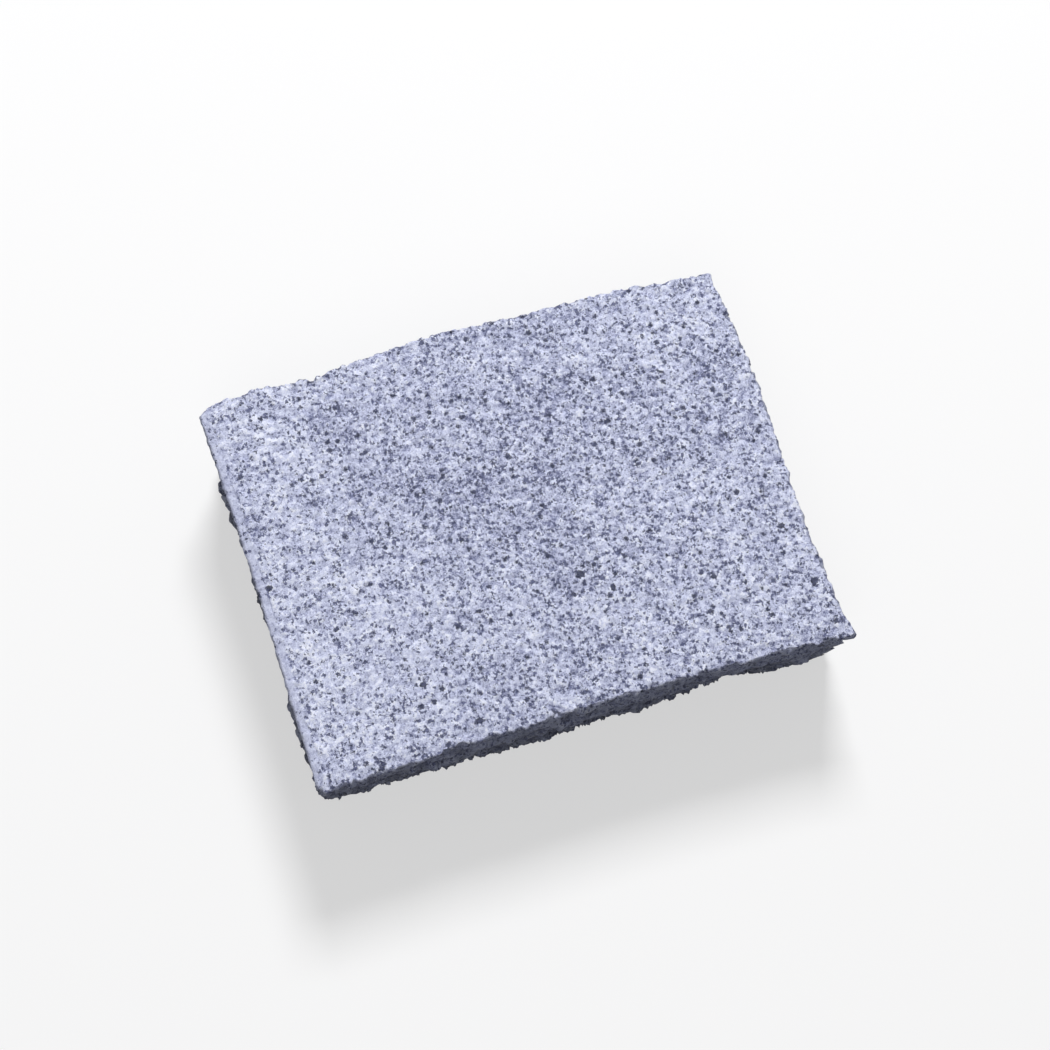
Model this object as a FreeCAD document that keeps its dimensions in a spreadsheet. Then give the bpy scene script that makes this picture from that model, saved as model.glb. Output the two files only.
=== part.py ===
"""A granite sett: one split paving block with a dressed, level tread on top and a level bed below.

Its four sides are split, so they undulate, lean in or out towards the bed, are broken into uneven
facets, carry the scars of a few flakes, and end at the tread in a wavy, slightly worn arris.  X runs
along the sett, Y across it from front to back and Z upwards; the origin is the middle of the bed.
"""

import FreeCAD, Part
import math
import os
import random

import Sketcher

NODE = "granite_sett"

# The driving dimensions, in millimetres.
SIZES = {
    "tread_length": 200.0,
    "tread_width": 152.0,
    "thickness": 50.0,
    # The worn arris round the tread: how far it drops, and how far it cuts in on each side.
    "arris_drop": 0.8,
    "front_worn": 0.5,
    "right_worn": 0.5,
    "back_worn": 0.6,
    "left_worn": 2.6,
    # The height at which the split faces swell and hollow most.
    "belly_height": 27.0,
    # How far each side's foot stands in from its arris; minus where the side flares out.
    "front_lean": 7.8,
    "right_lean": -4.0,
    "back_lean": 4.5,
    "left_lean": 3.0,
    # How long the facets of the split sides are, about, and how far their ends stand in or out at most.
    "facet_length": 13.0,
    "facet_depth": 2.8,
    # How much is knocked off the corner where each side starts, going anticlockwise.
    "front_knock": 1.4,
    "right_knock": 0.8,
    "back_knock": 1.6,
    "left_knock": 4.6,
}

# The sides in anticlockwise order, seen from above.
SIDES = ("front", "right", "back", "left")

# How far a facet's end strays along its side, as a share of the facet, and how much of the facets' depth
# the corners of the block have.
STRAY = 0.32
CORNER_DEPTH = 0.25

# Where the waves of a side are set, as shares of its run from one corner to the next.
LONG_MARKS = (0.0, 0.18, 0.37, 0.55, 0.74, 1.0)
SHORT_MARKS = (0.0, 0.22, 0.46, 0.75, 1.0)

# How far the arris stands out from its straight line at each mark, in millimetres.
EDGE_WAVES = {
    "front": (2.2, 0.4, -0.2, -1.3, -0.7, 0.6),
    "right": (0.8, -1.2, 0.3, 1.3, -0.9),
    "back": (-1.6, 1.5, 1.8, 2.7, 0.6, -1.2),
    "left": (1.6, 0.9, 0.3, 0.8, 0.9),
}

# How far the split face swells out at the same marks, at belly height, in millimetres.
SWELLS = {
    "front": (-0.3, 0.9, -0.8, 1.1, -0.6, 0.4),
    "right": (0.5, 2.6, -1.4, 1.9, -0.6),
    "back": (0.4, -2.0, 2.6, -0.6, 2.2, -0.8),
    "left": (-0.5, 2.3, -1.6, 1.8, 0.6),
}

# The share of a swell that carries on, as a hollow, down to the foot.
FOOT_FOLLOW = -0.5

# The scars of flakes that came away when the block was split: the side, the share of its run, and in
# millimetres how far up from the bed or down from the tread its middle is, the depth of the hollow, and
# its radius.
FLAKES = {
    "front_heel": ("front", 0.80, "bed", 4.0, 3.2, 55.0),
    "front_nick": ("front", 0.26, "tread", 0.5, 1.6, 8.0),
    "right_heel": ("right", 0.34, "bed", 6.0, 3.6, 60.0),
    "back_heel": ("back", 0.42, "bed", 2.0, 3.4, 55.0),
    "back_cheek": ("back", 0.80, "tread", 15.0, 2.0, 70.0),
    "left_heel": ("left", 0.60, "bed", 5.0, 3.2, 60.0),
}


# The expression for how high the foot of the arris is.
ARRIS_HEIGHT = "Sett.thickness - Sett.arris_drop"


def make_sheet(doc):
    """The spreadsheet of driving dimensions, one named cell each."""
    sheet = doc.addObject("Spreadsheet::Sheet", "Sett")
    cells = dict(SIZES)
    for side in SIDES:
        for number, wave in enumerate(EDGE_WAVES[side]):
            cells[f"{side}_edge_{number}"] = wave
        for number, swell in enumerate(SWELLS[side]):
            cells[f"{side}_swell_{number}"] = swell
    cells["foot_follow"] = FOOT_FOLLOW
    for flake, (_, share, _, away, depth, radius) in FLAKES.items():
        cells[f"{flake}_share"] = share
        cells[f"{flake}_away"] = away
        cells[f"{flake}_depth"] = depth
        cells[f"{flake}_radius"] = radius
    for row, (alias, value) in enumerate(cells.items(), start=1):
        sheet.set(f"A{row}", alias)
        sheet.set(f"B{row}", str(value))
        sheet.setAlias(f"B{row}", alias)
    doc.recompute()


def is_long(side):
    return side in ("front", "back")


def run_and_depth(side):
    """The sheet's cells for the tread's size along a side and across it."""
    cells = ("Sett.tread_length", "Sett.tread_width")
    return cells if is_long(side) else cells[::-1]


def facets_along(side):
    """How many facets lie side by side along a side."""
    return round(SIZES["tread_length" if is_long(side) else "tread_width"] / SIZES["facet_length"])


def turned(side, along, out):
    """The X and Y expressions of a place: along a side's run, and out from the middle of the sett."""
    return {
        "front": (along, f"-{out}"),
        "right": (out, along),
        "back": (f"-{along}", out),
        "left": (f"-{out}", f"-{along}"),
    }[side]


def chance(*place):
    """A value from -1 to 1 of its own for each place, always the same."""
    return random.Random(" ".join(map(str, place))).uniform(-1, 1)


def marked(side, kind, share):
    """The expression for a side's edge or swell at a share of its run, straight from mark to mark."""
    marks = LONG_MARKS if is_long(side) else SHORT_MARKS
    last = next(number for number, mark in enumerate(marks) if number and mark >= share)
    way = (share - marks[last - 1]) / (marks[last] - marks[last - 1])
    cell = f"Sett.{side}_{kind}"
    return f"({cell}_{last - 1} * {1 - way:.3f} + {cell}_{last} * {way:.3f})"


def side_points(side, line, inset, wave):
    """The ends of the facets along one side as pairs of expressions, from its first corner to its last.

    line names the row of facets, inset gives the expression for how far a side stands in from the
    tread's rectangle, and wave the one for how far a facet's end stands out from that.
    """
    place = SIDES.index(side)
    before = SIDES[place - 1]
    after = SIDES[(place + 1) % len(SIDES)]
    run, depth = run_and_depth(side)
    start = f"(-{run} / 2 + {inset(before)} + Sett.{side}_knock)"
    end = f"({run} / 2 - {inset(after)} - Sett.{after}_knock)"
    count = facets_along(side)
    points = []
    for number in range(count + 1):
        at_corner = number in (0, count)
        stray = 0 if at_corner else STRAY * chance(line, side, number, "along")
        share = (number + stray) / count
        stand = (CORNER_DEPTH if at_corner else 1) * chance(line, side, number, "out")
        along = f"({start} * {1 - share:.4f} + {end} * {share:.4f})"
        out = f"({depth} / 2 - {inset(side)} + {wave(side, share, stand)})"
        points.append(turned(side, along, out))
    return points


def rough_ring(count):
    """Where the points of an outline start, spaced round a ring, before the sheet's sizes place them."""
    reach = SIZES["tread_length"] / 2
    first_corner = math.radians(225)
    angles = [first_corner + 2 * math.pi * number / count for number in range(count)]
    return [FreeCAD.Vector(reach * math.cos(angle), reach * math.sin(angle), 0) for angle in angles]


def outline(body, name, height, points):
    """A closed sketch of straight runs round the sett at one height, each point held to the sheet."""
    sketch = body.newObject("Sketcher::SketchObject", name)
    ground = next(f for f in body.Origin.OriginFeatures if f.Role == "XY_Plane")
    sketch.AttachmentSupport = [(ground, "")]
    sketch.MapMode = "FlatFace"
    sketch.setExpression("AttachmentOffset.Base.z", f"({height}) * 1 mm")
    count = len(points)
    ring = rough_ring(count)
    lines = [Part.LineSegment(ring[number], ring[(number + 1) % count]) for number in range(count)]
    sketch.addGeometry(lines)
    held = []
    for number in range(count):
        held.append(Sketcher.Constraint("Coincident", number, 2, (number + 1) % count, 1))
    for number in range(count):
        held.append(Sketcher.Constraint("DistanceX", number, 1, ring[number].x))
        held.append(Sketcher.Constraint("DistanceY", number, 1, ring[number].y))
    sketch.addConstraint(held)
    for number, place in enumerate(points):
        for axis, expression in enumerate(place):
            sketch.setExpression(f"Constraints[{count + 2 * number + axis}]", expression)
    return sketch


def facet_row(body, line, height, swell, edge, broken):
    """The outline between two rows of facets.

    swell, edge and broken are its shares of the swells, of the arris's waves and of the facets' depth.
    """

    def inset(side):
        return f"Sett.{side}_lean * (1 - ({height}) / ({ARRIS_HEIGHT}))"

    def wave(side, share, stand):
        waves = f"({swell}) * {marked(side, 'swell', share)} + ({edge}) * {marked(side, 'edge', share)}"
        return f"{waves} + Sett.facet_depth * {broken} * {stand:.3f}"

    points = [point for side in SIDES for point in side_points(side, line, inset, wave)]
    return outline(body, f"{line}Outline", height, points)


def arris_row(body, name, height, worn):
    """An outline of the arris: at its foot, or worn back at the tread."""

    def inset(side):
        return f"Sett.{side}_worn" if worn else "0"

    def wave(side, share, stand):
        return marked(side, "edge", share)

    points = [point for side in SIDES for point in side_points(side, "Arris", inset, wave)]
    return outline(body, name, height, points)


def make_block(body):
    """The split block: a ruled loft from the bed, over the rows of facets and the arris, to the tread."""
    belly = "Sett.belly_height"
    outlines = [
        facet_row(body, "Bed", "0", "Sett.foot_follow", "0", 0.35),
        facet_row(body, "Heel", f"{belly} / 2", "(1 + Sett.foot_follow) / 2", "0", 0.9),
        facet_row(body, "Belly", belly, "1", "0", 1.0),
        facet_row(body, "Shoulder", f"({belly} + {ARRIS_HEIGHT}) / 2", "0.5", "0.5", 0.8),
        arris_row(body, "ArrisOutline", ARRIS_HEIGHT, False),
        arris_row(body, "TreadOutline", "Sett.thickness", True),
    ]
    body.Document.recompute()
    loft = body.newObject("PartDesign::AdditiveLoft", "SplitBlock")
    loft.Profile = outlines[0]
    loft.Sections = outlines[1:]
    loft.Ruled = True
    body.Document.recompute()
    return loft


def strike_flake(body, flake, side, origin):
    """One flake scar: a shallow round hollow in a side, its ball standing outside the leaning face."""
    cell = f"Sett.{flake}"
    run, depth = run_and_depth(side)
    along = f"({run} * ({cell}_share - 0.5))"
    height = f"{cell}_away" if origin == "bed" else f"(Sett.thickness - {cell}_away)"
    face = f"{depth} / 2 - Sett.{side}_lean * (1 - {height} / Sett.thickness)"
    out = f"({face} + {cell}_radius - {cell}_depth)"
    ball = body.newObject("PartDesign::SubtractiveSphere", f"Flake_{flake}")
    ball.setExpression("Radius", f"{cell}_radius * 1 mm")
    for axis, place in zip("xyz", (*turned(side, along, out), height)):
        ball.setExpression(f"Placement.Base.{axis}", f"({place}) * 1 mm")
    body.Document.recompute()
    return ball


def check(doc, body, block, scars):
    """Stops if anything failed to compute, a flake took nothing off, or the sett isn't one solid."""
    for thing in doc.Objects:
        if "Invalid" in thing.State or "Error" in thing.State:
            raise RuntimeError(f"{thing.Name} failed: {thing.State}")
    left = block.Shape.Volume
    for scar in scars:
        if scar.Shape.Volume >= left:
            raise RuntimeError(f"{scar.Name} took nothing off the block")
        left = scar.Shape.Volume
    shape = body.Shape
    if shape.isNull() or not shape.isValid() or len(shape.Solids) != 1:
        raise RuntimeError(f"{body.Label} is not one valid solid")


def main():
    doc = FreeCAD.newDocument(NODE)
    make_sheet(doc)
    body = doc.addObject("PartDesign::Body", "SettBody")
    body.Label = NODE
    block = make_block(body)
    scars = [strike_flake(body, flake, side, origin) for flake, (side, _, origin, *_) in FLAKES.items()]
    check(doc, body, block, scars)
    os.makedirs("parts", exist_ok=True)
    body.Shape.exportStep(f"parts/{body.Label}.step")
    box = body.Shape.optimalBoundingBox()
    print(f"{body.Label}: {box.XLength:.2f} x {box.YLength:.2f} x {box.ZLength:.2f} mm,", end=" ")
    print(f"{body.Shape.Volume / 1000:.1f} cm3, {len(body.Shape.Faces)} faces")


main()
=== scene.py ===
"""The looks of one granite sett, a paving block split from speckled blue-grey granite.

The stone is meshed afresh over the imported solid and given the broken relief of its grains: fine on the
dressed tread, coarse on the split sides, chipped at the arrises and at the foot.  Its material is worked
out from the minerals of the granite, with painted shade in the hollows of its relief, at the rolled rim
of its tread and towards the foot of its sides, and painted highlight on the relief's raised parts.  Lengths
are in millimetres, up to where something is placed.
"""

import math
from types import SimpleNamespace

import bpy
import numpy as np
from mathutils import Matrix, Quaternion, Vector, noise
from mathutils.bvhtree import BVHTree


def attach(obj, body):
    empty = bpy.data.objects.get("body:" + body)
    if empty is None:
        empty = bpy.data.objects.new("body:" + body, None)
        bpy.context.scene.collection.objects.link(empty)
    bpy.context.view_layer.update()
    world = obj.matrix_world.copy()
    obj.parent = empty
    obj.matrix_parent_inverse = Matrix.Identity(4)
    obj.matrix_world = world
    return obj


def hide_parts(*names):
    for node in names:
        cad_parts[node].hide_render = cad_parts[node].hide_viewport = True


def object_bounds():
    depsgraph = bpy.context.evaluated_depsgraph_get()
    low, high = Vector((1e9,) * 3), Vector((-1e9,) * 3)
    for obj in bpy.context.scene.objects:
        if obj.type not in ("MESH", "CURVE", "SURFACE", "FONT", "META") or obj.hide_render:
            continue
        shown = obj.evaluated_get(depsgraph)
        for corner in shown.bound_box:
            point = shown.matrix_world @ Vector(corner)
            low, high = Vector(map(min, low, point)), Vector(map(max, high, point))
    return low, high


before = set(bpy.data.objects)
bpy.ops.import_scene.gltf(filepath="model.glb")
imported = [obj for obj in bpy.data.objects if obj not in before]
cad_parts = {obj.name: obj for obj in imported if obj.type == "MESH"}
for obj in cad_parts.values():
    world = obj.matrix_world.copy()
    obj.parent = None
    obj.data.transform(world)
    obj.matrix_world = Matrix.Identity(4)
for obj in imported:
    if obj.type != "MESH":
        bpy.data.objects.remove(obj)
cad_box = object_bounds()

NODE = "granite_sett"
MM = 0.001
THICKNESS = cad_box[1].z / MM
LENGTH = (cad_box[1].x - cad_box[0].x) / MM
WIDTH = (cad_box[1].y - cad_box[0].y) / MM

# The mesh: how many cells the tread is divided into, along and across.
TREAD_CELLS = (240, 183)
# Round the foot the cells are this many times as fine, for its teeth.
FOOT_SPLIT = 2
# One cell of the bed spans this many cells of the foot.
BED_STEP = 6
# How far in from the foot the bed's own grid starts.
BED_INSET = 7.0
# How far below the tread the upper rows of the split sides lie, and how high above the bed the foot's do.
ARRIS_DROPS = (0.01, 0.4, 0.8, 1.4, 2.1, 3.0)
FOOT_RISES = (3.2, 2.4, 1.6, 0.8, 0.01)
# How many even rows there are between them.
SIDE_ROWS = 38

# The relief, in layers: each has its height, the size of its lumps or facets, and a seed.
TREAD_FACETS = ((0.95, 2.1, 1), (0.45, 3.9, 15))
TREAD_LUMPS = ((0.2, 1.3, 2), (0.22, 34.0, 3))
TREAD_PITS = ((0.9, 2.8, 4),)
SIDE_FACETS = ((3.1, 6.2, 7), (1.2, 2.6, 17))
SIDE_LUMPS = ((0.6, 6.0, 6), (0.2, 1.7, 8))
ARRIS_FACETS = ((1.7, 3.2, 12), (0.9, 1.8, 13))
ARRIS_LUMPS = ((0.4, 8.0, 14),)
ARRIS_CHIPS = ((1.82, 4.6, 9),)
FOOT_HOLLOWS = ((3.2, 8.0, 10),)
FOOT_BITES = ((3.0, 4.2, 16), (2.2, 2.5, 20))
FOOT_TEETH = ((1.8, 1.4, 21),)
BED_LUMPS = ((0.35, 9.0, 11),)
# The facets' tilts come from this seed, so they are the same each time.
TILT_SEED = 11
# How far the split sides may stand out, and how much less at the foot and on the left.
SIDE_LIMIT = 3.0
FOOT_LIMIT = 2.0
LEFT_LIMIT = 1.3
# How far the foot is let out again, and the left side set in.
FOOT_OUT = 0.4
LEFT_IN = 1.5
# The corner between front and right: how far its tip reaches, how sharp it is and how far it stands out.
TIP_REACH = 7.0
TIP_SHARPNESS = 1.4
TIP_OUT = 1.9
# How far the tread drops where it rolls off.
ROLL_DROP = 0.45
# How high the layers of pits and chips have to rise before they take anything off.
PIT_START = 0.2
CHIP_START = 0.16
# How far the points of the sides and the arrises are drawn towards their neighbours.
SOFTENING = 0.2


def ease(low, high, value):
    """Rises smoothly from 0 to 1 as value goes from low to high."""
    share = np.clip((value - low) / (high - low), 0.0, 1.0)
    return share * share * (3.0 - 2.0 * share)


def lumps(points, size, seed):
    """Smooth noise of about -1 to 1 at each point, in lumps about size across."""
    shift = Vector((17.3, 5.7, 11.9)) * seed
    return np.array([noise.noise(Vector(point) / size + shift) for point in points])


def facets(points, size, seed):
    """The relief of broken crystals about size across: each one a facet with a tilt of its own."""
    shift = Vector((3.1, 23.7, 8.3)) * seed
    heights = []
    for point in points:
        place = Vector(point) / size + shift
        centre = noise.voronoi(place)[1][0]
        tilt = noise.noise_vector(centre * 3.7)
        heights.append(tilt.dot(place - centre) + 0.5 * tilt.z)
    return np.array(heights)


def layered(kind, points, layers):
    """Layers of lumps or facets, added up."""
    return sum(height * kind(points, size, seed) for height, size, seed in layers)


def raised(kind, points, layers, start=0.0):
    """Layers of lumps or facets, added up, of each only what rises past start."""
    return sum(height * np.maximum(0, kind(points, size, seed) - start) for height, size, seed in layers)


def rim_walk(along, across):
    """The places round the rim of a grid, anticlockwise from its front left corner."""
    front = [(i, 0) for i in range(along)]
    right = [(along, j) for j in range(across)]
    back = [(i, across) for i in range(along, 0, -1)]
    left = [(0, j) for j in range(across, 0, -1)]
    return front + right + back + left


def fill_rim(rim, along, across):
    """A grid of points that fills a closed rim, blended from its four sides."""
    closed = np.vstack([rim, rim[:1]])
    half_way = along + across
    front = closed[: along + 1]
    right = closed[along : half_way + 1]
    back = closed[half_way : half_way + along + 1][::-1]
    left = closed[half_way + along :][::-1]
    u = np.linspace(0.0, 1.0, along + 1)[None, :, None]
    v = np.linspace(0.0, 1.0, across + 1)[:, None, None]
    sides = (1 - v) * front[None] + v * back[None] + (1 - u) * left[:, None] + u * right[:, None]
    front_corners = (1 - u) * front[0] + u * front[-1]
    back_corners = (1 - u) * back[0] + u * back[-1]
    return (sides - (1 - v) * front_corners - v * back_corners).reshape(-1, 3)


def grid_faces(first, along, across):
    """The faces of a grid of points that starts at index first, seen anticlockwise from above."""
    row = along + 1
    faces = []
    for j in range(across):
        for i in range(along):
            corner = first + j * row + i
            faces.append((corner, corner + 1, corner + row + 1, corner + row))
    return faces


def stretch(ring, cell, cells):
    """The points of a closed ring along one of so many equal cells, both ends included."""
    step = len(ring) // cells
    return [ring[place % len(ring)] for place in range(cell * step, (cell + 1) * step + 1)]


def ring_faces(upper, lower):
    """The faces that join two closed rings of points, one for each cell of the coarser ring."""
    cells = min(len(upper), len(lower))
    return [(*stretch(lower, cell, cells), *stretch(upper, cell, cells)[::-1]) for cell in range(cells)]


def reach_side(solid, height, aim):
    """Where a level ray from the block's axis meets the solid's side, turned a hair if it slips through."""
    middle = Vector((0, 0, height * MM))
    hair = 0.0005
    for turn in (0.0, hair, -hair):
        hit = solid.ray_cast(middle, aim + Vector((-aim.y, aim.x, 0)) * turn)[0]
        if hit:
            return hit / MM
    raise RuntimeError(f"no side at height {height:.2f} mm towards {aim}")


def side_rims(heights, along, across):
    """The solid's outline at each height, as a ring of points: one for each cell round a grid."""
    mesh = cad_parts[NODE].data
    solid = BVHTree.FromPolygons([v.co for v in mesh.vertices], [p.vertices for p in mesh.polygons])
    aims = []
    for i, j in rim_walk(along, across):
        aims.append(Vector(((i / along - 0.5) * LENGTH, (j / across - 0.5) * WIDTH, 0)))
    return [np.array([reach_side(solid, height, aim) for aim in aims]) for height in heights]


def plain_block():
    """The sett's points and faces before they are roughened, and how many are the tread's and the bed's."""
    along, across = TREAD_CELLS
    even = np.linspace(THICKNESS - ARRIS_DROPS[-1], FOOT_RISES[0], SIDE_ROWS + 2)[1:-1]
    upper = [THICKNESS - drop for drop in ARRIS_DROPS]
    rims = side_rims([*upper, *even], along, across)
    rims += side_rims(FOOT_RISES, along * FOOT_SPLIT, across * FOOT_SPLIT)
    rims[0][:, 2] = THICKNESS
    rims[-1][:, 2] = 0.0
    tread = fill_rim(rims[0], along, across)
    faces = grid_faces(0, along, across)
    ring = [j * (along + 1) + i for i, j in rim_walk(along, across)]
    count = len(tread)
    for rim in rims[1:]:
        below = range(count, count + len(rim))
        faces += ring_faces(ring, below)
        count += len(rim)
        ring = below
    along = along * FOOT_SPLIT // BED_STEP
    across = across * FOOT_SPLIT // BED_STEP
    foot = rims[-1][::BED_STEP]
    reach = np.linalg.norm(foot[:, :2], axis=1, keepdims=True)
    bed = fill_rim(foot * (1 - BED_INSET / reach), along, across)
    faces += ring_faces(ring, [count + j * (along + 1) + i for i, j in rim_walk(along, across)])
    faces += [face[::-1] for face in grid_faces(count, along, across)]
    return np.vstack([tread, *rims[1:], bed]), faces, len(tread), len(bed)


def rim_distances():
    """How far each point of the tread lies from its rim, and from the front and left sides of it."""
    along, across = TREAD_CELLS
    left, front = np.meshgrid(np.linspace(0, LENGTH, along + 1), np.linspace(0, WIDTH, across + 1))
    front_left = np.minimum(front, left)
    nearest = np.minimum(front_left, np.minimum(WIDTH - front, LENGTH - left))
    return nearest.ravel(), front_left.ravel()


def normals_and_edges(points, faces):
    """Which way each point of the block faces, and which pairs of points are neighbours."""
    mesh = bpy.data.meshes.new("block")
    mesh.from_pydata(points.tolist(), [], faces)
    normals = np.array([vertex.vector for vertex in mesh.vertex_normals])
    edges = np.array([edge.vertices for edge in mesh.edges])
    bpy.data.meshes.remove(mesh)
    return normals, edges


def softened(points, edges, share):
    """The points, each drawn towards the middle of its neighbours by its share."""
    total = np.zeros_like(points)
    count = np.zeros((len(points), 1))
    for here, there in (edges.T, edges.T[::-1]):
        np.add.at(total, here, points[there])
        np.add.at(count, here, 1)
    return points + (total / count - points) * share[:, None]


def outward(points):
    """The level direction out of the nearest side of the block, turning smoothly round its corners."""
    sharpness = 15
    x = points[:, 0] / (LENGTH / 2)
    y = points[:, 1] / (WIDTH / 2)
    ways = np.stack([x**sharpness, y**sharpness, np.zeros(len(points))], axis=1)
    return ways / np.maximum(np.linalg.norm(ways, axis=1, keepdims=True), 1e-12)


def find_zones(points, tread_count):
    """How far each point belongs to the tread, the sides, the arrises and so on, as shares of 0 to 1."""
    out = outward(points)
    height = points[:, 2]
    depth = THICKNESS - height
    from_arris = depth.copy()
    from_front_left = np.where(out[:, 0] + out[:, 1] < 0, 0.0, LENGTH)
    from_arris[:tread_count], from_front_left[:tread_count] = rim_distances()
    corner = points[TREAD_CELLS[0]]
    from_corner = np.hypot(points[:, 0] - corner[0], points[:, 1] - corner[1])
    # Each share rises or falls over a range in millimetres.
    zone = SimpleNamespace()
    zone.tread = 1 - ease(0.5, 1.8, depth)
    zone.side = ease(0.6, 3.0, depth)
    zone.arris = 1 - ease(0.5, 3.2, from_arris)
    zone.foot = 1 - ease(1.0, 8.0, height)
    zone.left = ease(0.6, 0.95, -out[:, 0])
    # The corner between front and right is a sharp tip, down its edge too.
    zone.tip = np.maximum(0.0, 1 - from_corner / TIP_REACH) ** TIP_SHARPNESS
    zone.tip_edge = zone.tip * (1 - ease(1.0, 10.0, from_arris))
    # The arris on the left is worn, and it and the tip are smoother than the others.
    zone.worn = zone.left * (1 - ease(0.8, 3.4, from_arris))
    zone.rough_arris = zone.arris * (1 - 0.6 * zone.left) * (1 - 0.8 * zone.tip)
    # The tread rolls off towards the front and the left.
    zone.rolled = zone.tread * (1 - ease(0.0, 5.5, from_front_left))
    return zone


def dressed_relief(points, zone):
    """The tread's broken crystals, fine grain, long waves and pits."""
    grain = layered(facets, points, TREAD_FACETS) + layered(lumps, points, TREAD_LUMPS)
    pits = raised(lumps, points, TREAD_PITS, PIT_START)
    return (grain - pits) * (1 - 0.7 * zone.worn) * zone.tread


def split_relief(points, zone):
    """The hackle of the split sides."""
    hackle = layered(facets, points, SIDE_FACETS) + layered(lumps, points, SIDE_LUMPS)
    most = SIDE_LIMIT - FOOT_LIMIT * zone.foot - LEFT_LIMIT * zone.left
    return np.minimum(hackle, most) + FOOT_OUT * zone.foot


def foot_bites(points, zone):
    """How deep the foot is bitten in, between its teeth."""
    bites = raised(lumps, points, FOOT_HOLLOWS) + raised(facets, points, FOOT_BITES)
    bites += layered(facets, points, FOOT_TEETH) * (1 - 0.6 * zone.left)
    return bites * zone.foot


def roughen(points, faces, tread_count, bed_count):
    """Breaks the plain block's surface into that of split and dressed granite."""
    noise.seed_set(TILT_SEED)
    normals, edges = normals_and_edges(points, faces)
    zone = find_zones(points, tread_count)
    dressed = dressed_relief(points, zone)
    split = split_relief(points, zone)
    jags = layered(facets, points, ARRIS_FACETS) + layered(lumps, points, ARRIS_LUMPS)
    chips = raised(facets, points, ARRIS_CHIPS, CHIP_START) * zone.rough_arris

    outwards = (split - LEFT_IN * zone.left - foot_bites(points, zone)) * zone.side
    outwards += jags * zone.rough_arris + TIP_OUT * zone.tip_edge - chips
    moved = points + normals * dressed[:, None] + outward(points) * outwards[:, None]
    moved[:, 2] -= chips + ROLL_DROP * zone.rolled * (1 - zone.tip)
    bed = slice(len(points) - bed_count, None)
    moved[bed] = points[bed]
    moved[bed, 2] += np.abs(layered(lumps, points[bed], BED_LUMPS))
    soft = zone.side * (1 - 0.5 * zone.foot) + zone.rough_arris * (1 - zone.side)
    moved = softened(moved, edges, SOFTENING * soft)
    moved[:, 2] = np.maximum(moved[:, 2], 0.0)
    # The relief and the roll-off are also kept for the material, which paints shade into the relief's
    # hollows and at the rolled rim, and highlight onto its raised parts.
    relief = dressed + 0.4 * split * zone.side
    return moved, {"dressed": zone.tread, "worn": zone.worn, "rolled": zone.rolled, "relief": relief}


def lay_flat(mesh, points):
    """Lays the block's faces out on one sheet: the tread, the four sides, and the bed at half size."""
    along, across = TREAD_CELLS
    rows = len(ARRIS_DROPS) + SIDE_ROWS
    foot_rows = len(FOOT_RISES) - 1
    tread, front, right, back, left, bed = range(6)
    faces = np.full(len(mesh.polygons), bed)
    faces[: along * across] = tread
    ring = np.repeat((front, right, back, left), (along, across, along, across))
    sides = np.concatenate([np.tile(ring, rows), np.tile(np.repeat(ring, FOOT_SPLIT), foot_rows)])
    faces[along * across :][: len(sides)] = sides
    corners = np.empty(len(mesh.polygons), int)
    mesh.polygons.foreach_get("loop_total", corners)
    vertex = np.empty(len(mesh.loops), int)
    mesh.loops.foreach_get("vertex_index", vertex)
    where = np.repeat(faces, corners)
    x, y, z = (points[vertex] + (LENGTH / 2, WIDTH / 2, 0)).T
    gap = 3.0
    above_sides = 2 * (THICKNESS + gap)
    beside_tread = LENGTH + gap
    across_sheet = {
        tread: x,
        front: x,
        back: x,
        right: beside_tread + z,
        left: beside_tread + THICKNESS + gap + z,
        bed: beside_tread + x / 2,
    }
    up_sheet = {
        tread: above_sides + y,
        front: z,
        back: THICKNESS + gap + z,
        right: above_sides + y,
        left: above_sides + y,
        bed: y / 2,
    }
    sheet_size = LENGTH + above_sides + 2 * gap
    places = np.empty((len(vertex), 2))
    for island in across_sheet:
        here = where == island
        places[here, 0] = gap + across_sheet[island][here]
        places[here, 1] = gap + up_sheet[island][here]
    layer = mesh.uv_layers.new(name="OFBake")
    layer.uv.foreach_set("vector", (places / sheet_size).ravel())


def add_object(name, data):
    made = bpy.data.objects.new(name, data)
    bpy.context.scene.collection.objects.link(made)
    return made


def make_stone():
    points, faces, tread_count, bed_count = plain_block()
    moved, shares = roughen(points, faces, tread_count, bed_count)
    mesh = bpy.data.meshes.new("split_granite")
    mesh.from_pydata((moved * MM).tolist(), [], faces)
    mesh.shade_smooth()
    lay_flat(mesh, points)
    for name, share in shares.items():
        layer = mesh.attributes.new(name, "FLOAT", "POINT")
        layer.data.foreach_set("value", share.astype(np.float32))
    return add_object("split_granite", mesh)


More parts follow.
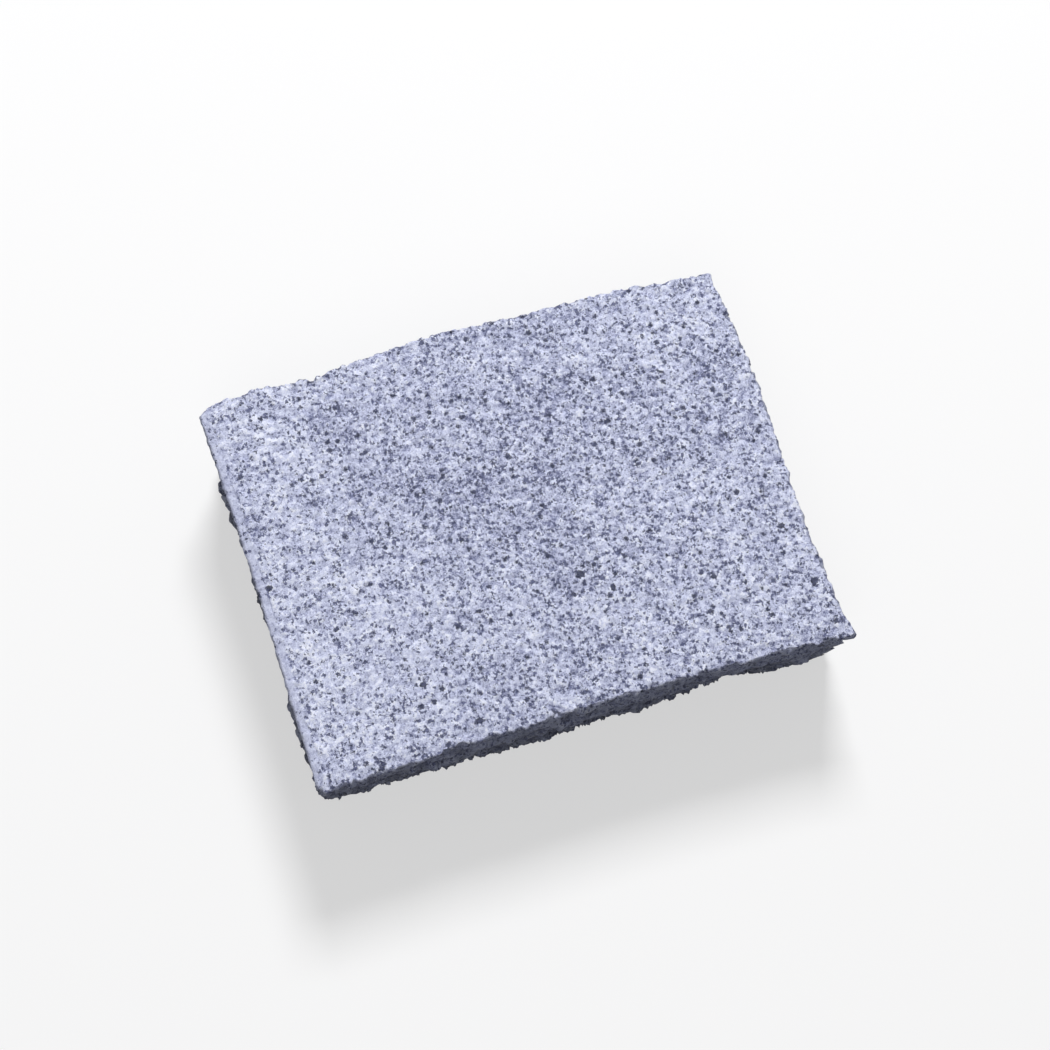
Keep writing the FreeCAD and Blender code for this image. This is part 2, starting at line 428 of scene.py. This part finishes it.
class Shade:
    """A socket of a material's nodes.  Sums on it add the Math nodes that work them out."""

    def __init__(self, tree, socket=None):
        self.tree = tree
        self.socket = socket

    def node(self, kind, settings, sockets, output=0):
        """Adds a node, sets it up, feeds its sockets and gives one of its outputs."""
        made = self.tree.nodes.new(kind)
        for name, value in settings.items():
            if name == "stops":
                self.set_stops(made.color_ramp.elements, value)
            else:
                setattr(made, name, value)
        for name, value in sockets.items():
            if isinstance(value, Shade):
                self.tree.links.new(value.socket, made.inputs[name])
            else:
                made.inputs[name].default_value = value
        return Shade(self.tree, made.outputs[output] if made.outputs else None)

    def set_stops(self, elements, stops):
        """Gives a ramp its stops, each a place from 0 to 1 and a colour."""
        while len(elements) < len(stops):
            elements.new(1.0)
        for element, (place, shade) in zip(elements, stops):
            element.position = place
            element.color = shade

    def other(self, output):
        """Another output of the node that this socket is on."""
        return Shade(self.tree, self.socket.node.outputs[output])

    def maths(self, operation, *values):
        return self.node("ShaderNodeMath", {"operation": operation}, dict(enumerate(values)))

    def __add__(self, other):
        return self.maths("ADD", self, other)

    def __sub__(self, other):
        return self.maths("SUBTRACT", self, other)

    def __rsub__(self, other):
        return self.maths("SUBTRACT", other, self)

    def __mul__(self, other):
        return self.maths("MULTIPLY", self, other)

    __radd__ = __add__
    __rmul__ = __mul__

    def between(self, low, high, start=0.0, end=1.0):
        """Goes smoothly from start to end as this goes from low to high."""
        sockets = {"Value": self, "From Min": low, "From Max": high, "To Min": start, "To Max": end}
        return self.node("ShaderNodeMapRange", {"interpolation_type": "SMOOTHSTEP"}, sockets)

    def most(self, other):
        return self.maths("MAXIMUM", self, other)

    def mix(self, first, second):
        """A colour between two colours, by this share of the second."""
        return self.node("ShaderNodeMix", {"data_type": "RGBA"}, {0: self, 6: first, 7: second}, 2)

    def dimmed(self, shade):
        """This colour times another one."""
        settings = {"data_type": "RGBA", "blend_type": "MULTIPLY"}
        return self.node("ShaderNodeMix", settings, {0: 1.0, 6: self, 7: shade}, 2)

    def ramp(self, stops):
        """A colour from a ramp, at this place along it."""
        return self.node("ShaderNodeValToRGB", {"stops": stops}, {0: self})

    def vectors(self, operation, other, output=0):
        return self.node("ShaderNodeVectorMath", {"operation": operation}, {0: self, 1: other}, output)

    def scaled(self, factor):
        """This vector times a number."""
        return self.node("ShaderNodeVectorMath", {"operation": "SCALE"}, {0: self, "Scale": factor})

    def parts(self):
        """The X of this vector or the red of this colour; its Y and Z are the other outputs."""
        return self.node("ShaderNodeSeparateXYZ", {}, {0: self})

    def clouds(self, size, detail, output=0):
        """Smooth noise in lumps about size across, at this place."""
        sockets = {"Vector": self, "Scale": 1.0 / size, "Detail": detail, "Roughness": 0.55}
        return self.node("ShaderNodeTexNoise", {}, sockets, output)

    def cells(self, size):
        """How far this place is from the middle of its cell, in parts of a cell about size across."""
        return self.node("ShaderNodeTexVoronoi", {}, {"Vector": self, "Scale": 1.0 / size})


def blank_nodes(owner):
    """Clears the nodes of a material or a world, and gives the start of new ones."""
    owner.use_nodes = True
    owner.node_tree.nodes.clear()
    return Shade(owner.node_tree)


def colour(red, green, blue):
    """A colour for a socket, from sRGB values of 0 to 255."""
    linear = []
    for value in (red, green, blue):
        share = value / 255
        linear.append(share / 12.92 if share <= 0.04045 else ((share + 0.055) / 1.055) ** 2.4)
    return (*linear, 1.0)


# The pale ground of feldspar and quartz, from its bruises to its whitest grains.
PALE_GROUND = (
    (0.08, colour(112, 117, 152)),
    (0.34, colour(171, 176, 206)),
    (0.60, colour(203, 208, 234)),
    (0.84, colour(222, 227, 249)),
    (1.00, colour(237, 240, 254)),
)
# The darkest and palest crystals in the flakes of mica, by the size of the flakes.
TINY_MICA = (colour(86, 92, 128), colour(150, 156, 188))
FINE_MICA = (colour(30, 36, 66), colour(102, 108, 147))
LARGE_MICA = (colour(14, 18, 40), colour(66, 72, 104))
# The scratch along the worn arris.
SCRATCH = colour(120, 126, 165)
# What dims the split sides: their own duller colour where clear, and painted shade towards the foot and in
# their crevices.
SIDE_DULL_AND_PAINTED_SHADE = (colour(210, 212, 219), colour(123, 125, 131))

# Places on the tread, in X and Y, round which there is more dark mica: each with its radius and how much
# more, or less where the stone is paler.
MICA_SPOTS = (
    ((4, 24), 85, 0.9),
    ((12, -26), 17, 0.9),
    ((-28, 19), 18, 0.7),
    ((14, 40), 16, 0.5),
    ((-54, 50), 19, 0.7),
    ((-20, 58), 12, 0.5),
    ((84, 14), 16, 0.6),
    ((96, -64), 22, 0.7),
    ((-78, -22), 65, -0.8),
    ((-84, 50), 30, -0.5),
    ((54, -8), 18, -0.6),
    ((84, 62), 20, -0.4),
)

# Single clots of mica that stand out on the tread: each with its reach along and across.
MICA_CLOTS = (
    ((-39.0, -69.0), (2.2, 1.2)),
    ((-54.0, -50.5), (1.4, 1.2)),
    ((13.0, -27.0), (1.9, 1.6)),
    ((23.0, -35.0), (1.0, 1.6)),
    ((90.0, -30.0), (1.4, 1.2)),
    ((94.0, -54.0), (1.2, 1.8)),
    ((-9.0, 44.0), (1.5, 1.0)),
    ((-96.0, 0.0), (1.6, 1.1)),
)


def mica_richness(place):
    """How much more dark mica there is than usual, or less."""
    rich = place.clouds(16.0, 2.0).between(0.35, 0.68, -0.4, 0.5)
    for (x, y), radius, more in MICA_SPOTS:
        distance = place.vectors("DISTANCE", (x, y, THICKNESS), "Value")
        rich = rich + distance.between(0.0, radius, more, 0.0)
    return rich


def flakes(crystal, size, share, least, most):
    """Where the flakes of mica are: one in that share of the cells, its radius from least to most."""
    cell = crystal.cells(size)
    marks = cell.other("Color").parts()
    radius = (share - marks).between(-0.004, 0.004) * (marks.other("Y") * (most - least) + least)
    return (radius - cell).between(-0.05, 0.05)


def with_clots(mica, crystal):
    """The flakes of mica, with the single clots among them."""
    for (x, y), (reach, width) in MICA_CLOTS:
        offset = crystal.vectors("SUBTRACT", (x, y, THICKNESS))
        offset = offset.vectors("DIVIDE", (reach, width, width))
        mica = mica.most(offset.vectors("LENGTH", (0, 0, 0), "Value").between(1.0, 0.9))
    return mica


def granite_material():
    material = bpy.data.materials.new("granite")
    start = blank_nodes(material)

    def painted(name):
        return start.node("ShaderNodeAttribute", {"attribute_name": name}, {}, "Fac")

    dressed = painted("dressed")
    worn = painted("worn")
    rolled = painted("rolled")
    relief = painted("relief")
    place = start.node("ShaderNodeTexCoord", {}, {}, "Object").scaled(1 / MM)
    sway = place.clouds(0.8, 2.0, "Color").vectors("SUBTRACT", (0.5, 0.5, 0.5))
    rich = mica_richness(place)

    # The pale grains, coarse and small, bruised in places and smoother where the arris is worn.
    grainy = place.vectors("ADD", sway.scaled(0.7))
    coarse = grainy.cells(2.2).other("Color").parts()
    small = grainy.cells(1.1).other("Color").parts()
    frost = place.clouds(0.55, 3.0)
    tone = coarse * 0.32 + small * 0.48 + frost.between(0.3, 0.7, 0.0, 0.46)
    # Painted shade darkens the hollows of the relief and the rim where the tread rolls off, and painted
    # highlight lightens the relief's raised parts.
    tone = tone + relief.between(-0.6, 0.4, -0.16, 0.08) - rich * 0.085 - rolled * 0.07
    tone = tone + (0.6 - tone) * worn * 0.45
    look = tone.ramp(PALE_GROUND)

    # Dark mica, in flakes made up of small angular crystals.
    crystals = place.vectors("ADD", sway.scaled(1.3)).cells(0.52)
    crystal = crystals.other("Position")
    tint = crystals.other("Color").parts()
    clumps = place.clouds(4.2, 2.0).between(0.3, 0.7, -0.28, 0.28)
    tiny_mica = flakes(crystal, 0.95, rich * 0.1 + 0.28 - worn * 0.14, 0.32, 0.6)
    fine_mica = flakes(crystal, 1.45, rich * 0.15 + clumps + 0.4 - worn * 0.3, 0.32, 0.6)
    large_mica = flakes(crystal, 4.1, rich * 0.22 + 0.46 - worn * 0.5, 0.16, 0.28)
    large_mica = with_clots(large_mica, crystal)
    look = (tiny_mica * 0.8).mix(look, tint.mix(*TINY_MICA))
    look = (fine_mica * 0.92).mix(look, tint.mix(*FINE_MICA))
    look = (large_mica * 0.96).mix(look, tint.mix(*LARGE_MICA))

    # A scratch runs along the inner edge of the worn arris, here and there.
    scratch = start.maths("ABSOLUTE", worn - 0.5).between(0.05, 0.3, 0.45, 0.0)
    scratch = scratch * place.clouds(18.0, 1.0).between(0.45, 0.55)
    look = scratch.mix(look, SCRATCH)

    # The split sides are duller, and darkened by painted shade towards the foot and in their crevices.
    clear_of_painted_shade = place.parts().other("Z") * 0.5 + place.clouds(3.0, 4.0) * 50.0 + relief * 15.0
    side_look = look.dimmed(clear_of_painted_shade.between(52.0, 20.0).mix(*SIDE_DULL_AND_PAINTED_SHADE))
    look = dressed.between(0.4, 0.7).mix(side_look, look)

    mica = fine_mica.most(large_mica)
    roughness = 0.9 - small.other("Z") * 0.2 - mica * 0.15
    height = frost * 0.5 + small.other("Z") * 0.35 + coarse.other("Z") * 0.35 - mica * 0.25
    bump = start.node("ShaderNodeBump", {}, {"Height": height, "Strength": 1.0, "Distance": 0.45 * MM})
    surface = start.node(
        "ShaderNodeBsdfPrincipled",
        {},
        {"Base Color": look, "Roughness": roughness, "Normal": bump, "Specular IOR Level": 0.35},
    )
    start.node("ShaderNodeOutputMaterial", {}, {"Surface": surface})
    return material


# The camera stands where it stood for the photograph, turned to the sett.
CAMERA_PLACE = (-193.0, -333.0, 1016.0)
CAMERA_AIM = (1.0, -1.0, 44.0)
CAMERA_ROLL = math.radians(12.9)
CAMERA_LENS = 98.0
SENSOR_WIDTH = 36.0
# The square lamps: each with its place and its side in metres, and its power in watts.
LAMPS = {
    "key": ((0.45, 1.44, 1.85), 0.7, 53.0),
    "fill": ((-0.8, -1.4, 2.1), 1.4, 9.0),
}
# How bright the world is as a light.  Seen directly it is white.
WORLD_LIGHT = 0.16
# The floor in metres, its colour as it throws light back and as it is seen, and how much of its own white
# it adds where it is seen.
FLOOR_HALF = 3.0
FLOOR_THROWN = colour(80, 80, 80)
FLOOR_SEEN = colour(246, 246, 247)
FLOOR_WHITE = 0.55


def make_camera():
    data = bpy.data.cameras.new("camera")
    data.lens = CAMERA_LENS
    data.sensor_width = SENSOR_WIDTH
    camera = add_object("camera", data)
    camera.location = Vector(CAMERA_PLACE) * MM
    view = Vector(CAMERA_AIM) - Vector(CAMERA_PLACE)
    camera.rotation_mode = "QUATERNION"
    camera.rotation_quaternion = view.to_track_quat("-Z", "Y") @ Quaternion((0, 0, 1), CAMERA_ROLL)
    bpy.context.scene.camera = camera


def make_lamp(name, place, side, watts):
    """A square lamp that faces the sett."""
    data = bpy.data.lights.new(name, "AREA")
    data.size = side
    data.energy = watts
    lamp = add_object(name, data)
    lamp.location = place
    lamp.rotation_mode = "QUATERNION"
    lamp.rotation_quaternion = (-Vector(place)).to_track_quat("-Z", "Y")


def seen_directly(start):
    """1 for rays from the camera, and for those that a glossy or clear surface sends on; else 0."""
    camera_ray = start.node("ShaderNodeLightPath", {}, {}, "Is Camera Ray")
    glossy_ray = camera_ray.other("Is Glossy Ray")
    clear_ray = camera_ray.other("Is Transmission Ray")
    return camera_ray.most(glossy_ray.most(clear_ray))


def make_floor():
    mesh = bpy.data.meshes.new("floor")
    corners = [(x * FLOOR_HALF, y * FLOOR_HALF, 0) for x, y in ((-1, -1), (1, -1), (1, 1), (-1, 1))]
    mesh.from_pydata(corners, [], [(0, 1, 2, 3)])
    floor = add_object("floor", mesh)
    material = bpy.data.materials.new("floor")
    start = blank_nodes(material)
    seen = seen_directly(start)
    lit = start.node("ShaderNodeBsdfDiffuse", {}, {"Color": seen.mix(FLOOR_THROWN, FLOOR_SEEN)})
    white = start.node("ShaderNodeEmission", {}, {"Strength": 1.0})
    surface = start.node("ShaderNodeMixShader", {}, {0: seen * FLOOR_WHITE, 1: lit, 2: white})
    start.node("ShaderNodeOutputMaterial", {}, {"Surface": surface})
    mesh.materials.append(material)


def make_world():
    world = bpy.data.worlds.new("studio")
    start = blank_nodes(world)
    strength = seen_directly(start) * (1 - WORLD_LIGHT) + WORLD_LIGHT
    light = start.node("ShaderNodeBackground", {}, {"Color": (1, 1, 1, 1), "Strength": strength})
    start.node("ShaderNodeOutputWorld", {}, {"Surface": light})
    bpy.context.scene.world = world


stone = make_stone()
stone.data.materials.append(granite_material())
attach(stone, "root")
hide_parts(NODE)

make_floor()
make_world()
for name, lamp in LAMPS.items():
    make_lamp(name, *lamp)
make_camera()
bpy.context.scene.view_settings.view_transform = "Standard"
